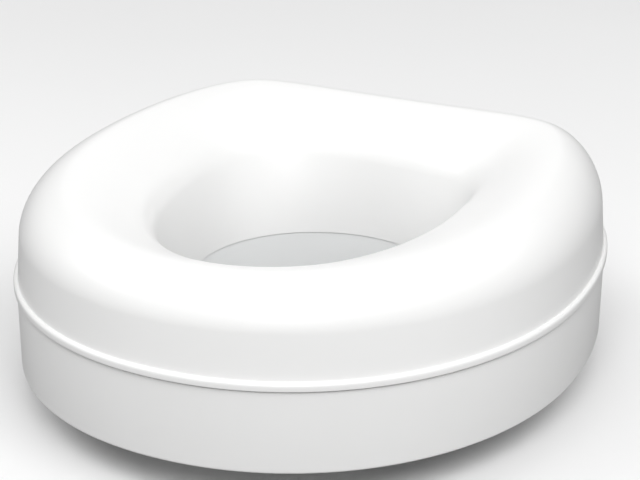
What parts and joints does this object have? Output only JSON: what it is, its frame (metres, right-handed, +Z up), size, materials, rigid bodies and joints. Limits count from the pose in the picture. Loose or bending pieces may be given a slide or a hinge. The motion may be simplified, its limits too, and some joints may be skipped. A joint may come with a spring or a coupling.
{
  "type": "raised toilet seat",
  "caption": "Hollow white moulded seat with an oval opening, a skirt and a splash guard, which stands on a toilet bowl to raise its height.",
  "frame": {"origin": "below the middle of the outline, level with the splash guard's lower edge", "axes": "+Z up, -Y towards the seat's front, X across it"},
  "size_m": [0.386, 0.3932, 0.1542],
  "materials": {
    "seat_plastic": "satin gloss",
    "base_plastic": "satin gloss",
    "guard_plastic": "satin",
    "pad_rubber": "matt",
    "screw_steel": "zinc-plated"
  },
  "bodies": {
    "root": {"seat_shell": "seat_plastic", "base_shell": "base_plastic", "splash_guard": "guard_plastic", "pad_front_left": "pad_rubber", "pad_front_right": "pad_rubber", "pad_rear_left": "pad_rubber", "pad_rear_right": "pad_rubber", "screw_left_1": "screw_steel", "screw_left_2": "screw_steel", "screw_left_3": "screw_steel", "screw_left_4": "screw_steel", "screw_right_1": "screw_steel", "screw_right_2": "screw_steel", "screw_right_3": "screw_steel", "screw_right_4": "screw_steel"}
  },
  "joints": []
}
